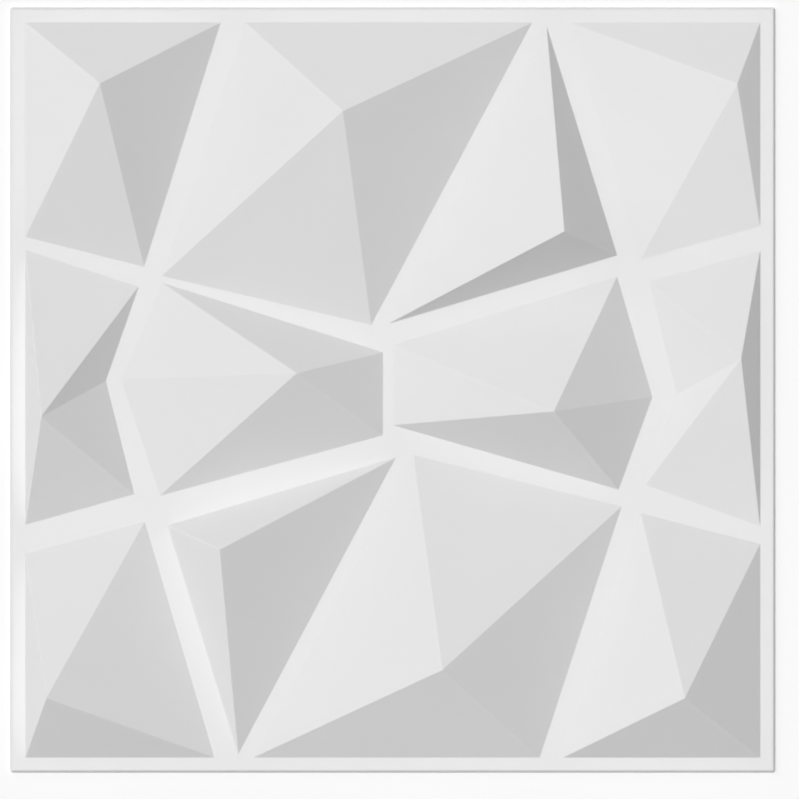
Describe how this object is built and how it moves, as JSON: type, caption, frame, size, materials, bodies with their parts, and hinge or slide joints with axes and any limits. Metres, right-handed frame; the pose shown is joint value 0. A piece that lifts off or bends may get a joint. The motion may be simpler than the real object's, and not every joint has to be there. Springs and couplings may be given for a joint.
{
  "type": "3d wall panel tile",
  "caption": "Square white wall panel tile formed from one thin plastic sheet, with a relief of faceted pyramids between flat tapering ribs and a flat border.",
  "frame": {"origin": "middle of the tile in the plane of the wall that its turned-down rim rests on", "axes": "+Z points away from the wall, through the thickness; +Y is the top of the tile as it hangs in the picture and +X its right side"},
  "size_m": [0.5, 0.5, 0.028],
  "materials": {
    "white_plastic": "matt white, as formed"
  },
  "bodies": {
    "root": {"wall_panel_tile": "white_plastic"}
  },
  "joints": []
}
